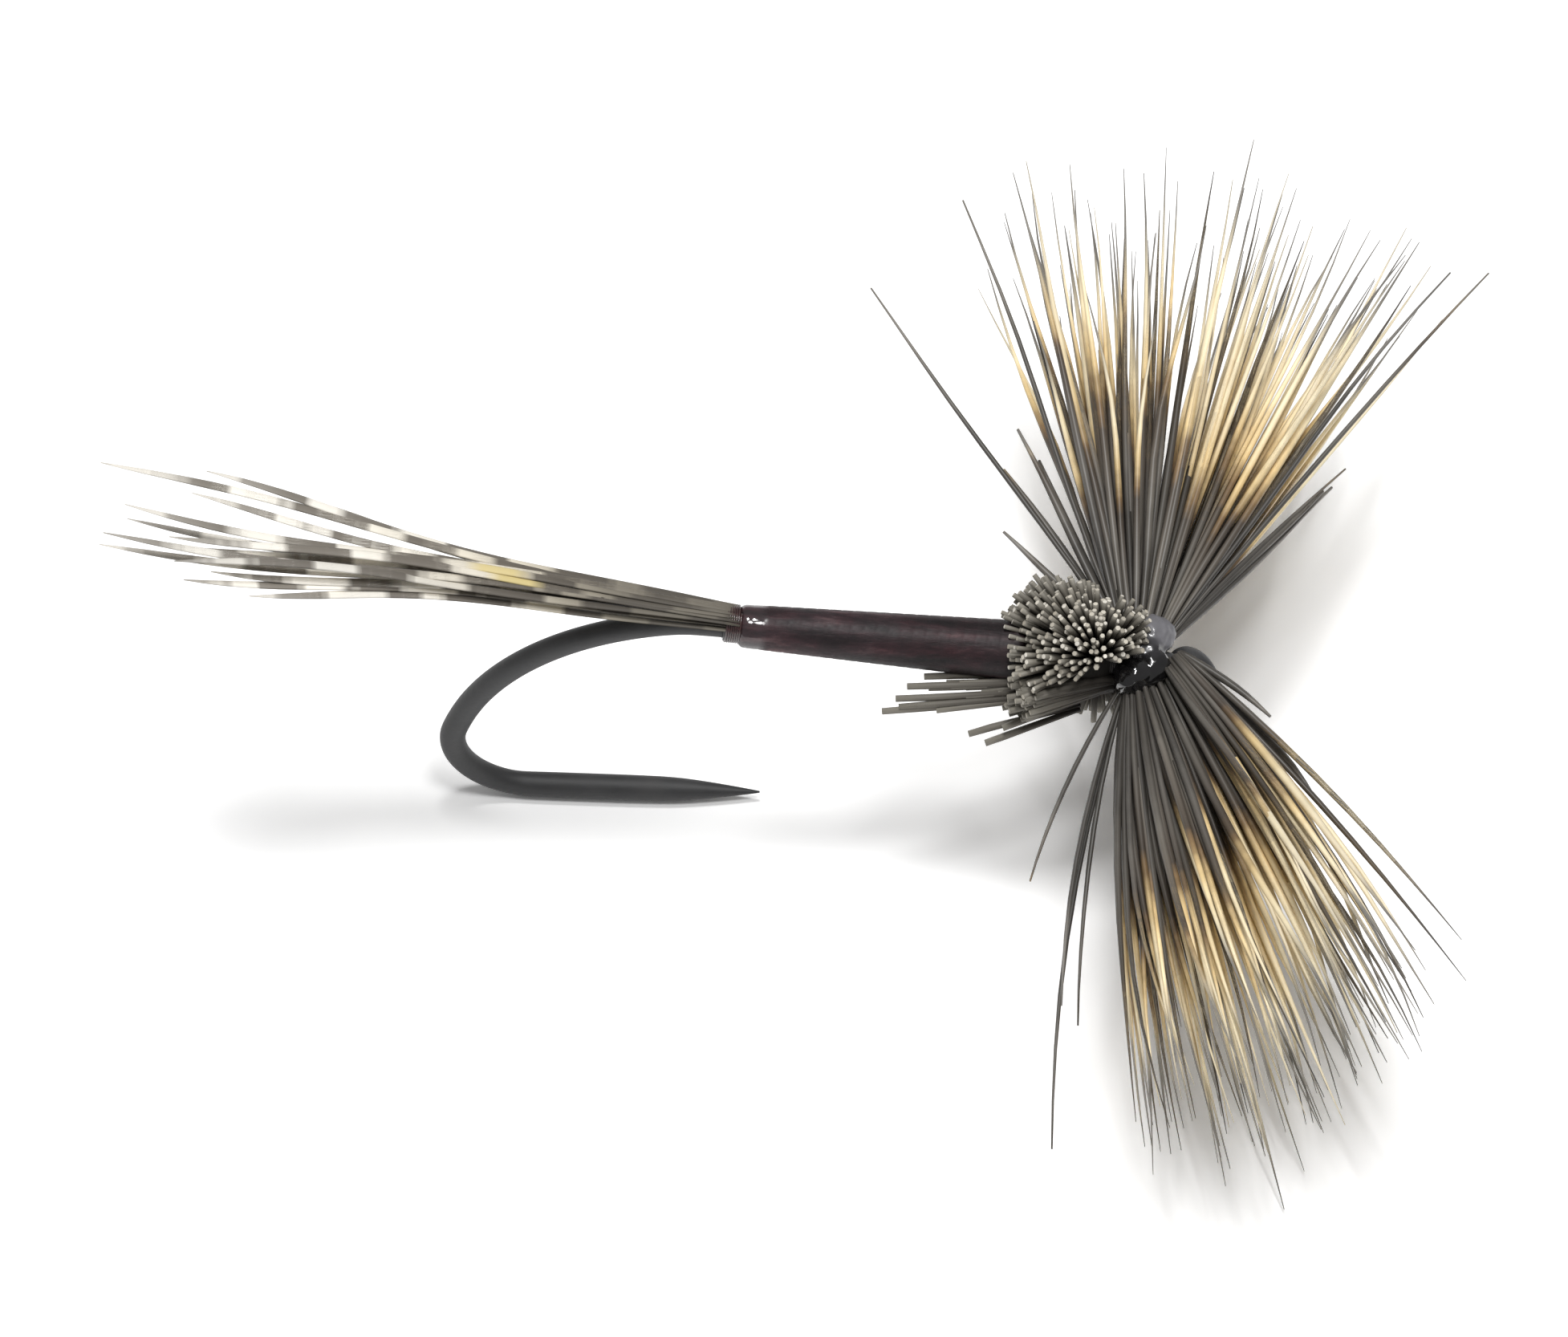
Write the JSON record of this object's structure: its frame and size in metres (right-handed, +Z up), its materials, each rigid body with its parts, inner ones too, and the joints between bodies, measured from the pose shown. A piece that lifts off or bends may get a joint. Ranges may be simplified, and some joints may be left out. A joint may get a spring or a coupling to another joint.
{
  "type": "dry fly",
  "caption": "Hair-wing spinner dry fly: barbless down-eye hook with barred fibre tail, lacquered claret abdomen, clipped hair thorax and spent deer-hair wings that float it.",
  "frame": {"origin": "on the surface that the fly stands on, in the hook's own plane, under the middle of its length", "axes": "+X from the tail towards the eye, +Y to the fly's left, +Z up from the surface that the spear lies on"},
  "size_m": [0.0272, 0.023, 0.0101],
  "materials": {
    "black_wire": "satin",
    "dark_thread": "satin",
    "head_cement": "gloss",
    "claret_lacquer": "gloss",
    "barred_fibre": "matte",
    "cut_hair": "matte",
    "deer_hair": "satin"
  },
  "bodies": {
    "root": {"hook": "black_wire", "thread_base": "dark_thread", "tail_lashing": "dark_thread", "hair_lashing": "dark_thread", "cross_wraps": "dark_thread", "head_wraps": "dark_thread", "head_cement": "head_cement", "abdomen": "claret_lacquer", "clipped_butts": "cut_hair", "left_wing": "deer_hair", "right_wing": "deer_hair", "tail_fibre_01": "barred_fibre", "tail_fibre_02": "barred_fibre", "tail_fibre_03": "barred_fibre", "tail_fibre_04": "barred_fibre", "tail_fibre_05": "barred_fibre", "tail_fibre_06": "barred_fibre", "tail_fibre_07": "barred_fibre", "tail_fibre_08": "barred_fibre", "tail_fibre_09": "barred_fibre", "tail_fibre_10": "barred_fibre", "tail_fibre_11": "barred_fibre", "tail_fibre_12": "barred_fibre", "tail_fibre_13": "barred_fibre", "tail_fibre_14": "barred_fibre"}
  },
  "joints": []
}
